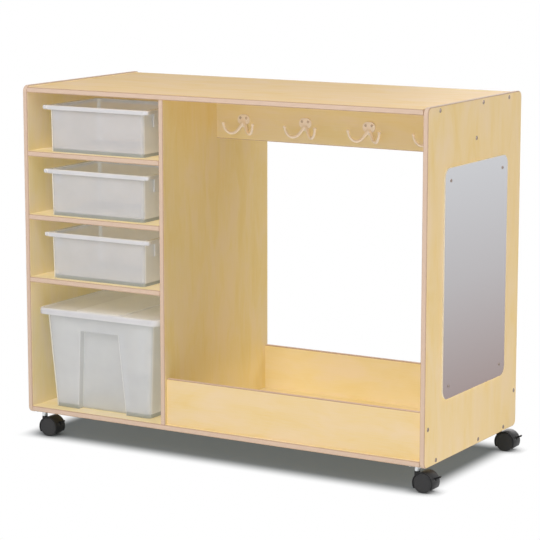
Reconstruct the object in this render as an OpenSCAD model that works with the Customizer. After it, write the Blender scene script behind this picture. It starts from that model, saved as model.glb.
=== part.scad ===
// Mobile dress-up storage unit for children: a birch plywood cabinet on four twin-wheel
// braked casters, with three sliding trays and a lidded tote on the left, a hanging bay
// with four double hooks on the right, and a plastic mirror on the right-hand side.
// Origin: on the floor, in the middle of the whole unit. +X right, +Y back, +Z up.

/* [Cabinet] */
// Width over both side panels
cab_w = 1219.2; // [1100:0.1:1500]
// Depth of the side panels
cab_d = 546.1; // [520:0.1:700]
// Height of the side panels
side_h = 901.7; // [880:0.1:1100]
// Thickness of all plywood panels
panel_t = 15; // [12:0.5:18]
// Rounding along the edges of the panels
edge_r = 4; // [1:0.5:5]
// Corner radius of the side panels, seen from the side
corner_r = 16; // [8:1:40]
// How far the sides stand beyond the top and bottom panels
end_lip = 4; // [2:0.5:10]
// Clear width of the tray bay
bay_w = 420.5; // [400:0.5:520]
// Clear height of each tray bay
tray_bay_h = 157.5; // [145:0.5:165]
// Height of the hook rail and of both low boards
board_h = 124; // [110:1:150]
// Setback of the low boards and the bay's back
board_setback = 10; // [4:1:24]

/* [Joinery] */
// Diameter of the connector bolts
bolt_d = 6; // [5:0.5:7]
// Length of a connector bolt under its head
bolt_len = 50; // [46:1:60]
// Diameter of a bolt's head
bolt_head_d = 11; // [9:0.5:14]
// Height of a bolt's head
bolt_head_h = 2; // [1.5:0.1:3]
// Distance of the front bolts from the front
bolt_front_y = 64; // [40:1:100]
// Distance of the middle bolts from the front
bolt_mid_y = 311; // [290:1:340]
// Distance of the rear bolts from the back
bolt_rear_inset = 80; // [60:1:120]
// Distance of the rail's and the boards' bolts from their free edges
board_bolt_inset = 44; // [30:1:50]
// Diameter of the barrel nuts
nut_d = 10; // [9:0.5:12]
// Distance of a barrel nut from the end of its panel
nut_inset = 28; // [22:1:30]
// Diameter of the dowels
dowel_d = 8; // [6:0.5:8]
// Length of a dowel
dowel_len = 30; // [24:1:40]
// Depth that a dowel enters a panel's face
dowel_face_depth = 9; // [6:0.5:10]

/* [Mirror] */
// Width of the mirror
mirror_w = 366; // [250:1:420]
// Height of the mirror
mirror_h = 585; // [400:1:640]
// Thickness of the mirror
mirror_t = 4; // [3:0.5:6]
// Corner radius of the mirror
mirror_r = 26; // [8:1:50]
// Distance of the mirror's screws from its edges
mirror_screw_inset = 32; // [20:1:50]

/* [Hooks] */
// Distance of the first hook from the divider
hook_first = 86; // [60:1:120]
// Distance of the last hook from the right side
hook_last = 98; // [60:1:120]
// Width of a hook's plate
hook_plate_w = 36.5; // [32:0.5:44]
// Height of a hook's plate
hook_plate_h = 34.5; // [32:0.5:42]
// Thickness of a hook's plate
hook_plate_t = 4; // [3:0.5:6]
// Radius of a hook plate's shoulders
hook_shoulder_r = 14; // [11:0.5:15]
// Radius of a hook plate's lower end
hook_chin_r = 8; // [5:0.5:10]
// Height of a hook's plate centre above the rail's lower edge
hook_rise = 52; // [46:1:70]
// Distance between the two screws of a hook
hook_screw_gap = 18.4; // [14:0.1:20]
// Height of those screws above the plate's centre
hook_screw_rise = 7.5; // [4:0.5:8]
// Reach of a prong from the middle of the plate, seen from above
prong_reach = 56; // [46:1:64]
// Depth of a prong's bend below the middle of the plate
prong_drop = 37; // [34:1:42]
// Angle between a prong and the rail, seen from above
prong_angle = 35; // [25:1:50]
// Diameter of the ball at a prong's tip
ball_d = 9; // [7:0.5:11]

/* [Trays] */
// Width of a tray's body
tray_w = 303; // [260:1:320]
// Depth of a tray's body
tray_d = 230; // [180:1:300]
// Height of a tray
tray_h = 125; // [100:1:135]
// Wall thickness of a tray
tray_wall = 2.5; // [2:0.1:4]
// How much each wall of a tray leans in towards its base
tray_lean = 2; // [1:0.5:4]
// Corner radius of a tray
tray_r = 10; // [8:1:24]
// Height of a tray's floor above its shelf
tray_foot = 9; // [5:0.5:14]
// Width of the rim beside and behind a tray
rim_w = 12; // [9:0.5:14]
// How far the rim stands out at the front of a tray
rim_front = 6; // [3:0.5:10]
// Height of the rim's turned-down skirt
rim_h = 11; // [7:0.5:14]
// How far the grip at each end of the front rim stands beyond the side rims
ear_w = 6.5; // [5:0.5:20]
// Length of the tab under each side of the rim
tab_len = 14; // [8:1:30]
// Height of that tab, from the tray's upper edge
tab_h = 36; // [20:1:60]
// Thickness of that tab
tab_t = 4; // [2:0.5:8]
// Distance of that tab from the front of the tray's body
tab_y = 19; // [14:1:60]
// Distance of a tray's body from the cabinet's front
tray_setback = 19; // [12:1:60]

/* [Tote] */
// Wall thickness of the tote
tote_wall = 3; // [2.5:0.1:4]
// How much each side of the tote leans in towards its base
tote_lean_x = 18.5; // [10:0.5:26]
// How much the front and back of the tote lean in towards the base
tote_lean_y = 14; // [8:0.5:20]
// Corner radius of the tote
tote_r = 13; // [8:1:24]
// Depth of the recess in the front and back of the tote
recess_depth = 20; // [8:1:24]
// Width of the recess at its top
recess_top_w = 123; // [80:1:140]
// Width of the recess at the tote's base
recess_base_w = 156; // [100:1:170]
// Distance from the tote's brim down to the top of the recess
recess_drop = 51; // [36:1:110]
// Overhang of the lid at the sides of the tote
lid_over_x = 22; // [12:0.5:24]
// Overhang of the lid at the front and back of the tote
lid_over_y = 9; // [8:0.5:14]
// Corner radius of the lid
lid_r = 24; // [12:1:36]
// Height of the lid's rolled edge
lid_h = 17; // [12:0.5:20]
// Thickness of the lid
lid_t = 4; // [3:0.5:5]
// Width of the raised band along the middle of the lid
band_w = 145; // [80:1:240]
// Distance of that band from the lid's front and back edges
band_inset = 6; // [4:0.5:30]
// Height of that band
lid_rise = 1.5; // [0.5:0.5:4]
// Distance of the lid's edge from the cabinet's front
lid_setback = 10; // [4:1:40]

/* [Casters] */
// Height of the caster mounting face above the floor
caster_h = 67.5; // [64:0.5:80]
// Wheel diameter
wheel_d = 50; // [44:1:50]
// Width of one wheel
wheel_w = 15; // [13:0.5:18]
// Distance of the axle behind the swivel axis
trail = 24; // [21:0.5:26]
// Distance of the swivel axis from the cabinet's front or back
stem_y = 30; // [26:0.5:80]
// Side length of the mounting plate
plate_w = 38; // [36:0.5:46]
// Thickness of the hood's canopy
canopy_t = 2.5; // [2:0.1:3]
// Reach of the brake pedal's tip behind the axle
pedal_reach = 42; // [38:0.5:48]
// Diameter of the knob at the brake pedal's tip
knob_d = 5; // [4:0.5:8]
// Width of that knob
knob_w = 6; // [5:0.5:14]
// Slope of the raised brake pedal
pedal_slope = 24.5; // [20:0.5:30]
// Angle that the pedal is pressed down by
brake_angle = 14; // [6:1:16]

/* [Clearances] */
// Radial clearance of shafts and pins in their bores
running_gap = 0.05; // [0.02:0.01:0.08]
// Radial clearance of the bolts in their holes
bolt_gap = 0.25; // [0.1:0.05:0.5]
// Gap between the tote's lid and the panel at each side
lid_gap_beside = 14; // [8:0.5:30]
// Gap between the tote's lid and the bay's back
lid_gap_behind = 41; // [20:1:90]
// Free height over the tote's lid
lid_headroom = 68.7; // [55:0.1:90]
// Gap between the lid's skirt and the tote's rim
lid_gap = 0.8; // [0.5:0.1:1.5]
// Gap between a wheel and the hood around it
wheel_gap = 1; // [0.8:0.1:1.5]
// Gap on each side of the brake pedal's lever
lever_gap = 0.4; // [0.3:0.1:0.6]
// Gap between a caster's collar and its hood
collar_gap = 0.4; // [0.3:0.1:1]

/* [Hidden] */
$fn = 64;
eps = 0.01;
past = 1;

// Colours
birch = [0.86, 0.73, 0.53];
steel = [0.72, 0.72, 0.72];
almond = [0.80, 0.69, 0.52];
frosted = [0.80, 0.81, 0.80];
black = [0.17, 0.17, 0.17];
silver = [0.78, 0.79, 0.81];

// Levels above the floor
side_z = caster_h - end_lip;
bottom_z = caster_h;
floor_z = bottom_z + panel_t;
top_z = side_z + side_h - end_lip - panel_t;
shelf_pitch = tray_bay_h + panel_t;
tote_bay_h = top_z - 3 * shelf_pitch - floor_z;
rail_z = top_z - board_h;
function shelf_z(i) = top_z - i * shelf_pitch;

// Places across and along the cabinet, from the left side's outer face and from its front
inner_w = cab_w - 2 * panel_t;
divider_x = panel_t + bay_w;
hang_x = divider_x + panel_t;
hang_w = cab_w - panel_t - hang_x;
bay_cx = panel_t + bay_w / 2;
back_y = cab_d - board_setback - panel_t;
rail_y = (cab_d - panel_t) / 2;
half_t = panel_t / 2;
bolt_ys = [bolt_front_y, bolt_mid_y, cab_d - bolt_rear_inset];
shelf_bolt_ys = [bolt_front_y, cab_d - bolt_rear_inset];
stem_x = panel_t + plate_w / 2;

// The unit reaches from the left side's face to the tips of the right-hand pedals
unit_w = cab_w - stem_x + trail + pedal_reach;

// Carries what is drawn from the cabinet's front left corner into the unit's frame
module cabinet() {
    translate([-unit_w / 2, -cab_d / 2, 0]) children();
}

// ---------------------------------------------------------------- panels

// Rectangle from the origin, its corners rounded where asked: left low, right low, right high, left high
module rounded_rect(w, h, r, corners = [1, 1, 1, 1]) {
    difference() {
        square([w, h]);
        if (corners[0]) corner_waste(0, 0, r, 0);
        if (corners[1]) corner_waste(w, 0, r, 90);
        if (corners[2]) corner_waste(w, h, r, 180);
        if (corners[3]) corner_waste(0, h, r, 270);
    }
}

// What a rounding takes off a corner
module corner_waste(x, y, r, turn) {
    translate([x, y]) rotate(turn) difference() {
        translate([-past, -past]) square(r + past);
        translate([r, r]) circle(r);
    }
}

// Turns a drawing in the plane so that its x runs along +Y and its y along +Z
module along_x() {
    rotate([90, 0, 90]) children();
}

// Panel across the cabinet with the given section, seen from its left end
module crosswise(x, y, z, w) {
    translate([x, y, z]) along_x() linear_extrude(w) children();
}

// Side panel: the rounding of its edges follows the whole outline, round the corners too
module side_board() {
    translate([0, 0, corner_r]) linear_extrude(side_h - 2 * corner_r)
        rounded_rect(panel_t, cab_d, edge_r);
    for (top = [0, 1]) {
        translate([0, cab_d - corner_r, top * (side_h - corner_r)]) rotate([90, 0, 0])
            linear_extrude(cab_d - 2 * corner_r)
                rounded_rect(panel_t, corner_r, edge_r, [1 - top, 1 - top, top, top]);
        for (back = [0, 1])
            translate([0, back ? cab_d - corner_r : corner_r, top ? side_h - corner_r : corner_r])
                mirror([0, 1 - back, 0]) mirror([0, 0, 1 - top]) along_x()
                    rotate_extrude(angle = 90) rounded_rect(corner_r, panel_t, edge_r, [0, 1, 1, 0]);
    }
}

module left_side() {
    color(birch) cabinet() difference() {
        translate([0, 0, side_z]) side_board();
        bolt_holes(left_bolt_places(), false);
    }
}

module right_side() {
    color(birch) cabinet() difference() {
        translate([cab_w - panel_t, 0, side_z]) side_board();
        bolt_holes(right_bolt_places(), true);
        mirror_screw_shanks();
    }
}

// Top and bottom panels, between the sides
module deck(z) {
    difference() {
        crosswise(panel_t, 0, z, inner_w) rounded_rect(cab_d, panel_t, edge_r);
        panel_bores();
    }
}

module top_panel() {
    color(birch) cabinet() deck(top_z);
}

module bottom_panel() {
    color(birch) cabinet() difference() {
        deck(bottom_z);
        caster_screw_shanks();
    }
}

module divider() {
    color(birch) cabinet() difference() {
        translate([divider_x, 0, floor_z]) linear_extrude(top_z - floor_z)
            rounded_rect(panel_t, back_y + panel_t, edge_r);
        dowel_set();
    }
}

module bay_back() {
    color(birch) cabinet() difference() {
        translate([panel_t, back_y, floor_z]) cube([bay_w, panel_t, top_z - floor_z]);
        panel_bores();
    }
}

module shelf(i) {
    color(birch) cabinet() difference() {
        crosswise(panel_t, 0, shelf_z(i), bay_w) rounded_rect(back_y, panel_t, edge_r, [1, 0, 0, 1]);
        panel_bores();
    }
}

module hook_rail() {
    color(birch) cabinet() difference() {
        crosswise(hang_x, rail_y, rail_z, hang_w) rounded_rect(panel_t, board_h, edge_r, [1, 1, 0, 0]);
        panel_bores();
        hook_screw_shanks();
    }
}

module low_board(y) {
    color(birch) cabinet() difference() {
        crosswise(hang_x, y, floor_z, hang_w) rounded_rect(panel_t, board_h, edge_r, [0, 0, 1, 1]);
        panel_bores();
    }
}

// ---------------------------------------------------------------- joinery

// A bolt's place is [y, z, whether its panel stands upright]
function deck_bolt_places() = [for (y = bolt_ys, z = [top_z, bottom_z]) [y, z + half_t, false]];

function left_bolt_places() = concat(
    deck_bolt_places(),
    [for (i = [1:3], y = shelf_bolt_ys) [y, shelf_z(i) + half_t, false]],
    [for (i = [1:4]) [back_y + half_t, back_fixing_z(i), true]]);

function right_bolt_places() = concat(deck_bolt_places(), [
    [rail_y + half_t, rail_z + board_bolt_inset, true],
    [board_setback + half_t, floor_z + board_h - board_bolt_inset, true],
    [back_y + half_t, floor_z + board_h - board_bolt_inset, true]
]);

// The bay's back is fixed half-way up each compartment
function back_fixing_z(i) = i == 4 ? floor_z + tote_bay_h / 2 : shelf_z(i) + panel_t + tray_bay_h / 2;

// Carries what is drawn along +Z, head down, to each bolt of one side
module at_bolts(places, right) {
    for (p = places)
        translate([right ? cab_w : 0, p[0], p[1]]) rotate([0, right ? -90 : 90, 0]) children();
}

module bolt_holes(places, right) {
    at_bolts(places, right) translate([0, 0, -past])
        cylinder(d = bolt_d + 2 * bolt_gap, h = bolt_len + 2 * past);
}

// Connector bolt: domed head with a hexagon socket
module connector_bolt() {
    socket_d = bolt_head_d * 0.45;
    difference() {
        union() {
            cylinder(d = bolt_d, h = bolt_len);
            rotate([180, 0, 0]) rotate_extrude() bolt_head_section();
        }
        translate([0, 0, -bolt_head_h - past]) cylinder(d = socket_d, h = bolt_head_h + past, $fn = 6);
    }
}

module bolt_head_section() {
    intersection() {
        square([bolt_head_d / 2, bolt_head_h]);
        translate([0, bolt_head_h - bolt_head_d]) circle(bolt_head_d);
    }
}

module left_bolts() {
    color(steel) cabinet() at_bolts(left_bolt_places(), false) connector_bolt();
}

module right_bolts() {
    color(steel) cabinet() at_bolts(right_bolt_places(), true) connector_bolt();
}

// Carries what is drawn round +Z to each barrel nut; +Z there is the face its hole opens at
module at_nuts() {
    for (right = [0, 1], p = right ? right_bolt_places() : left_bolt_places())
        translate([right ? cab_w - panel_t - nut_inset : panel_t + nut_inset, p[0], p[1]])
            rotate([p[2] ? -90 : 180, 0, 0]) children();
}

nut_floor = 1.5 - half_t;

module barrel_nuts() {
    color(steel) cabinet() difference() {
        at_nuts() translate([0, 0, nut_floor]) cylinder(d = nut_d, h = -2 * nut_floor);
        bolt_holes(left_bolt_places(), false);
        bolt_holes(right_bolt_places(), true);
    }
}

module nut_holes() {
    at_nuts() translate([0, 0, nut_floor]) cylinder(d = nut_d + 2 * bolt_gap, h = panel_t);
}

// Dowels between the divider and all that meets it
module dowel_set() {
    mid_x = hang_x - dowel_face_depth;
    bay_x = divider_x + dowel_face_depth - dowel_len;
    for (i = [1:3], y = shelf_bolt_ys) dowel_along_x(bay_x, y, shelf_z(i) + half_t);
    for (i = [1:4]) dowel_along_x(bay_x, back_y + half_t, back_fixing_z(i));
    for (z = [1, 3] * board_h / 4) {
        dowel_along_x(mid_x, rail_y + half_t, rail_z + z);
        for (y = [board_setback, back_y]) dowel_along_x(mid_x, y + half_t, floor_z + z);
    }
    for (y = bolt_ys, z = [floor_z - dowel_face_depth, top_z + dowel_face_depth - dowel_len])
        translate([divider_x + half_t, y, z]) cylinder(d = dowel_d, h = dowel_len);
}

module dowel_along_x(x, y, z) {
    translate([x, y, z]) rotate([0, 90, 0]) cylinder(d = dowel_d, h = dowel_len);
}

module dowels() {
    color(birch) cabinet() dowel_set();
}

// All that the joinery bores into the panels between the sides
module panel_bores() {
    bolt_holes(left_bolt_places(), false);
    bolt_holes(right_bolt_places(), true);
    nut_holes();
    dowel_set();
}

// ---------------------------------------------------------------- mirror

screw_d = 3.5;
screw_hole_d = 4.5;
mirror_screw_len = 10;

// Carries what is drawn from the mirror's lower front corner, outwards along +Z
module on_mirror() {
    translate([cab_w, (cab_d - mirror_w) / 2, side_z + (side_h - mirror_h) / 2]) along_x() children();
}

module at_mirror_screws() {
    for (y = [mirror_screw_inset, mirror_w - mirror_screw_inset],
         z = [mirror_screw_inset, mirror_h - mirror_screw_inset])
        on_mirror() translate([y, z, 0]) children();
}

module mirror_screw_shanks() {
    at_mirror_screws() translate([0, 0, -mirror_screw_len])
        cylinder(d = screw_d, h = mirror_screw_len + mirror_t);
}

module mirror_sheet() {
    color(silver) cabinet() difference() {
        on_mirror() linear_extrude(mirror_t) rounded_rect(mirror_w, mirror_h, mirror_r);
        at_mirror_screws() translate([0, 0, -past]) cylinder(d = screw_hole_d, h = mirror_t + 2 * past);
    }
}

module mirror_screws() {
    color(steel) cabinet() {
        mirror_screw_shanks();
        at_mirror_screws() translate([0, 0, mirror_t]) screw_head(9, 6, 1.8);
    }
}

// Screw head with a cross recess, drawn up from its seat
module screw_head(seat_d, top_d, h) {
    difference() {
        cylinder(d1 = seat_d, d2 = top_d, h = h);
        for (turn = [0, 90])
            rotate(turn) translate([-top_d * 0.4, -top_d * 0.08, h * 0.4])
                cube([top_d * 0.8, top_d * 0.16, h]);
    }
}

// ---------------------------------------------------------------- hooks

hook_z = rail_z + hook_rise;
hook_pitch = (hang_w - hook_first - hook_last) / 3;
function hook_x(i) = hang_x + hook_first + (i - 1) * hook_pitch;

// Centre line of a prong in its own upright plane, as [distance from the plate's middle, height]
prong_tip = [prong_reach, -6];
prong_low = [prong_reach * 0.59, 4 - prong_drop];
prong_down = [[3, -5], [12, -17], prong_low - [14, 0], prong_low];
prong_up = [prong_low, prong_low + [11, 0], prong_tip - [1.5, 16], prong_tip];
prong_root_half = [4.8, 5.2];
prong_tip_half = [3.2, 3.2];
prong_steps = 8;
prong_sides = 16;
function mix(a, b, t) = a * (1 - t) + b * t;
function bezier(p, t) = len(p) == 1 ? p[0] : bezier([for (i = [1:len(p) - 1]) mix(p[i - 1], p[i], t)], t);
prong_line = [for (part = [prong_down, prong_up], i = [1:prong_steps]) bezier(part, i / prong_steps)];

// Cast prong: an oval section that grows slimmer along the centre line
module prong() {
    line = concat([prong_down[0]], prong_line);
    last = len(line) - 1;
    rings = [for (i = [0:last], k = [1:prong_sides])
        let (
            along = line[min(i + 1, last)] - line[max(i - 1, 0)],
            across = [-along[1], along[0]] / norm(along),
            turn = 360 * k / prong_sides,
            half = mix(prong_root_half, prong_tip_half, i / last),
            at = line[i] + across * half[0] * cos(turn))
        [at[0], half[1] * sin(turn), at[1]]];
    skin = [for (i = [1:last], k = [0:prong_sides - 1])
        let (a = (i - 1) * prong_sides, b = i * prong_sides, next = (k + 1) % prong_sides)
        [a + k, a + next, b + next, b + k]];
    root_end = [for (k = [1:prong_sides]) prong_sides - k];
    tip_end = [for (k = [0:prong_sides - 1]) last * prong_sides + k];
    polyhedron(rings, concat(skin, [root_end, tip_end]));
    translate([prong_tip[0], 0, prong_tip[1]]) sphere(d = ball_d, $fn = 32);
}

module at_hook_screws(i) {
    for (s = [-1, 1])
        translate([hook_x(i) + s * hook_screw_gap / 2, rail_y, hook_z + hook_screw_rise])
            rotate([90, 0, 0]) children();
}

// Outline of a hook's plate: a shield with round shoulders that narrows to its lower end
module shield() {
    shoulder = [hook_plate_w / 2 - hook_shoulder_r, hook_plate_h / 2 - hook_shoulder_r];
    chin = [0, hook_chin_r - hook_plate_h / 2];
    span = shoulder - chin;
    lean = atan2(span[1], span[0]) - acos((hook_shoulder_r - hook_chin_r) / norm(span));
    out = [cos(lean), sin(lean)];
    corners = [[shoulder[0], hook_plate_h / 2], shoulder + hook_shoulder_r * out, chin + hook_chin_r * out];
    for (s = [-1, 1]) translate([s * shoulder[0], shoulder[1]]) circle(hook_shoulder_r);
    translate(chin) circle(hook_chin_r);
    polygon(concat(corners, [for (k = [2:-1:0]) [-corners[k][0], corners[k][1]]]));
}

// Double hook: a small plate with two prongs that spread out and forward
module hook(i) {
    color(almond) cabinet() difference() {
        translate([hook_x(i), rail_y, hook_z]) union() {
            rotate([90, 0, 0]) linear_extrude(hook_plate_t) shield();
            for (turn = [-prong_angle, prong_angle - 180]) rotate(turn) prong();
        }
        translate([hook_x(i) - hook_plate_w, rail_y, hook_z - hook_plate_h]) cube(2 * hook_plate_w);
        at_hook_screws(i) translate([0, 0, -past]) cylinder(d = screw_hole_d, h = hook_plate_t + 2 * past);
    }
}

module hook_screw_shanks() {
    screw_len = 12;
    for (i = [1:4]) at_hook_screws(i) translate([0, 0, -screw_len])
        cylinder(d = screw_d, h = screw_len + hook_plate_t);
}

module hook_screws() {
    color(almond) cabinet() {
        hook_screw_shanks();
        for (i = [1:4]) at_hook_screws(i) translate([0, 0, hook_plate_t]) screw_head(7.5, 5.5, 1.6);
    }
}

// ---------------------------------------------------------------- trays

// Upright box with rounded corners that leans in towards its base: centred on X, front at Y = 0
module leaning_box(w, d, h, r, lean_x, lean_y) {
    hull() {
        translate([-w / 2, 0, h - eps]) linear_extrude(eps) rounded_rect(w, d, r, $fn = 32);
        translate([lean_x - w / 2, lean_y, 0]) linear_extrude(eps)
            rounded_rect(w - 2 * lean_x, d - 2 * lean_y, r, $fn = 32);
    }
}

rim_root = 0.5;

// Clear storage tray: thin walls, a raised floor, and a turned-down rim with a grip at each end
module tray(i) {
    color(frosted) cabinet() translate([bay_cx, tray_setback, shelf_z(i) + panel_t]) {
        difference() {
            union() {
                leaning_box(tray_w, tray_d, tray_h, tray_r, tray_lean, tray_lean);
                translate([0, 0, tray_h - rim_h]) tray_rim(0, rim_h);
            }
            translate([0, 0, tray_h - rim_h - past]) difference() {
                tray_rim(tray_wall, rim_h - tray_wall + past);
                tray_plan(-rim_root, tray_h);
            }
            translate([0, tray_wall, tray_foot])
                leaning_box(tray_w - 2 * tray_wall, tray_d - 2 * tray_wall, tray_h - tray_foot + eps,
                    tray_r - tray_wall, tray_lean, tray_lean);
            translate([0, 0, -past]) tray_plan(tray_lean + tray_wall, tray_foot - tray_wall + past);
        }
        for (side = [0, 1]) mirror([side, 0, 0]) tray_tab();
    }
}

// Tab that stiffens the rim, from the side wall's outside up to the rim's underside
module tray_tab() {
    root = tray_wall * 0.8;
    translate([tray_w / 2 - root, tab_y, tray_h - tab_h])
        cube([tab_t + root, tab_len, tab_h - tray_wall / 2]);
}

// The tray's plan made smaller by an inset on each side
module tray_plan(inset, h) {
    translate([inset - tray_w / 2, inset, 0]) linear_extrude(h)
        rounded_rect(tray_w - 2 * inset, tray_d - 2 * inset, tray_r - inset);
}

// Rim seen from above: a band round the body with a grip beyond each end of its front
module tray_rim(inset, h) {
    side_w = tray_w + 2 * rim_w - 2 * inset;
    front_w = side_w + 2 * ear_w;
    front_d = tray_r + rim_front - 2 * inset;
    linear_extrude(h) translate([0, inset - rim_front]) {
        translate([-side_w / 2, 0])
            rounded_rect(side_w, tray_d + rim_front + rim_w - 2 * inset, tray_r - inset);
        translate([-front_w / 2, 0]) rounded_rect(front_w, front_d, front_d / 3);
    }
}

// ---------------------------------------------------------------- tote

// The tote fills its compartment but for the gaps about its lid
lid_w = bay_w - 2 * lid_gap_beside;
lid_d = back_y - lid_setback - lid_gap_behind;
tote_w = lid_w - 2 * lid_over_x;
tote_d = lid_d - 2 * lid_over_y;
tote_h = tote_bay_h - lid_headroom - lid_rise - lid_t;
tote_y = lid_setback + lid_over_y;
recess_h = tote_h - recess_drop;
brim_t = 4;
skirt_t = 3;
brim_inset = skirt_t + lid_gap;

// The tote's outside, or the space inside it when the walls are taken off
module tote_form(wall) {
    difference() {
        translate([0, wall, wall])
            leaning_box(tote_w - 2 * wall, tote_d - 2 * wall, tote_h - wall, tote_r - wall,
                tote_lean_x, tote_lean_y);
        tote_recess(wall);
        translate([0, tote_d, 0]) mirror([0, 1, 0]) tote_recess(wall);
    }
}

// Upright recess, open at the base and wider there, as deep all the way up the leaning wall
module tote_recess(wall) {
    top = recess_h + wall;
    face_y = tote_lean_y * (1 - top / tote_h);
    hull() {
        recess_slab(top, recess_top_w + 2 * wall, face_y + recess_depth + wall);
        recess_slab(-past, recess_base_w + 2 * wall, tote_lean_y + recess_depth + wall);
    }
}

module recess_slab(z, w, reach) {
    translate([-w / 2, -past, z]) cube([w, reach + past, eps]);
}

module tote() {
    brim_w = lid_w - 2 * brim_inset;
    brim_d = lid_d - 2 * brim_inset;
    color(frosted) cabinet() translate([bay_cx, tote_y, floor_z]) difference() {
        union() {
            tote_form(0);
            translate([-brim_w / 2, brim_inset - lid_over_y, tote_h - brim_t]) linear_extrude(brim_t)
                rounded_rect(brim_w, brim_d, lid_r - brim_inset);
        }
        translate([0, 0, eps]) tote_form(tote_wall);
    }
}

// Snap-on lid with a rolled edge and a low band that runs along its middle
module tote_lid() {
    band_r = 8;
    color(frosted) cabinet() translate([bay_cx, lid_setback, floor_z + tote_h + lid_t]) difference() {
        union() {
            translate([-lid_w / 2, 0, -lid_h]) linear_extrude(lid_h) rounded_rect(lid_w, lid_d, lid_r);
            translate([-band_w / 2, band_inset, -eps]) linear_extrude(lid_rise + eps)
                rounded_rect(band_w, lid_d - 2 * band_inset, band_r);
        }
        translate([skirt_t - lid_w / 2, skirt_t, -lid_h - past]) linear_extrude(lid_h - lid_t + past)
            rounded_rect(lid_w - 2 * skirt_t, lid_d - 2 * skirt_t, lid_r - skirt_t);
    }
}

// ---------------------------------------------------------------- casters

// A caster is drawn about its swivel axis, down from the mounting face, with its axle behind at +X
axle_d = 6;
axle_z = wheel_d / 2 - caster_h;
web_w = 10;
twin_w = web_w + 2 * wheel_gap + 2 * wheel_w;
canopy_r = wheel_d / 2 + wheel_gap;
hood_r = canopy_r + canopy_t;
plate_t = 2.5;
plate_hole = plate_w / 2 - 5;
collar_h = 13.5;
stem_d = 8;
stem_len = caster_h / 2;
boss_d = 15;
boss_top = -plate_t - collar_h - collar_gap;
pivot = [13, 6];
pivot_d = 3;
lever_w = 4;
lever_t = 4;
eye_r = lever_t / 2 + 1;

// Carries a caster to its corner of the cabinet
module at_corner(right, back) {
    cabinet() translate([right ? cab_w - stem_x : stem_x, back ? cab_d - stem_y : stem_y, caster_h])
        children();
}

// Carries what is drawn round +Z onto the axle, towards the back (1) or the front (-1)
module on_axle(side = 1) {
    translate([trail, 0, axle_z]) rotate([-90 * side, 0, 0]) children();
}

// Side view about the axle, drawn with x along +X and y up, given width w in the middle of the caster
module side_view(w) {
    translate([trail, w / 2, axle_z]) rotate([90, 0, 0]) linear_extrude(w) children();
}

module at_plate_holes() {
    for (x = [-1, 1], y = [-1, 1]) translate([x * plate_hole, y * plate_hole, -plate_t]) children();
}

// Zinc-plated plate with its collar and the pressed-in stem
module caster_plate() {
    color(steel) difference() {
        union() {
            translate([-plate_w / 2, -plate_w / 2, -plate_t]) linear_extrude(plate_t)
                rounded_rect(plate_w, plate_w, 4);
            translate([0, 0, -plate_t - collar_h]) cylinder(d = boss_d, h = collar_h + plate_t / 2);
            translate([0, 0, -stem_len]) cylinder(d = stem_d, h = stem_len - plate_t);
        }
        at_plate_holes() translate([0, 0, -past]) cylinder(d = screw_hole_d, h = plate_t + 2 * past);
    }
}

// Moulded hood: a canopy over both wheels, a web between them, and the boss round the stem
module caster_hood() {
    stem_bore_z = -stem_len - past;
    color(black) difference() {
        union() {
            side_view(twin_w) hood_side();
            translate([0, 0, stem_bore_z - 2]) cylinder(d = boss_d, h = boss_top - stem_bore_z + 2);
        }
        for (side = [-1, 1]) on_axle(side) translate([0, 0, web_w / 2])
            cylinder(r = canopy_r, h = wheel_w + 2 * wheel_gap);
        translate([0, 0, stem_bore_z]) cylinder(d = stem_d + 2 * running_gap, h = caster_h / 2);
        on_axle() translate([0, 0, -web_w / 2 - past]) cylinder(d = axle_d, h = web_w + 2 * past);
        side_view(lever_w + 2 * lever_gap) translate(pivot) lever_swing();
        side_view(web_w + past) translate(pivot) circle(d = pivot_d + 2 * running_gap);
    }
}

// The hood's outline: round about the axle, cut off level below it
module hood_side() {
    difference() {
        circle(hood_r);
        translate([-hood_r, -hood_r]) square([2 * hood_r, hood_r / 2]);
    }
}

// Room for the brake lever about its pivot, from its raised to its pressed place
module lever_swing() {
    half = lever_t / 2 + lever_gap;
    circle(eye_r + lever_gap);
    polygon([
        turned([0, half], pedal_slope), turned([hood_r, half], pedal_slope),
        turned([hood_r, -half], pedal_slope - brake_angle), turned([0, -half], pedal_slope - brake_angle)
    ]);
}

function turned(p, a) = [p[0] * cos(a) - p[1] * sin(a), p[0] * sin(a) + p[1] * cos(a)];

module caster_axle() {
    length = twin_w - 6;
    color(steel) on_axle() translate([0, 0, -length / 2]) cylinder(d = axle_d, h = length);
}

// One wheel of the pair: tread, stepped face and blind hub
module wheel(side) {
    color(black) on_axle(side) translate([0, 0, web_w / 2 + wheel_gap]) difference() {
        rotate_extrude() wheel_section();
        translate([0, 0, -past]) cylinder(d = axle_d + 2 * running_gap, h = wheel_w - 2 + past);
    }
}

// Half section through a wheel, its outer face at the top
module wheel_section() {
    r = wheel_d / 2;
    hub_r = axle_d / 2 + 4;
    tread_t = 4.5;
    groove = [0.8, 0.4];
    difference() {
        rounded_rect(r, wheel_w, 2, [0, 1, 1, 0]);
        translate([r - tread_t, wheel_w - groove[1]]) square(groove + [0, past]);
        translate([hub_r, -past]) square([r - tread_t - hub_r, wheel_w / 2 + past]);
    }
}

// Brake pedal: a lever on moulded trunnions that ends in a round knob behind the hood
module brake_pedal() {
    length = (pedal_reach - knob_d / 2 - pivot[0]) / cos(pedal_slope);
    color(black) {
        side_view(lever_w) translate(pivot) {
            circle(eye_r);
            rotate(pedal_slope) translate([0, -lever_t / 2]) square([length, lever_t]);
        }
        side_view(web_w) translate(pivot) circle(d = pivot_d);
        side_view(knob_w) translate(pivot + turned([length, 0], pedal_slope)) circle(d = knob_d);
    }
}

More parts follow.
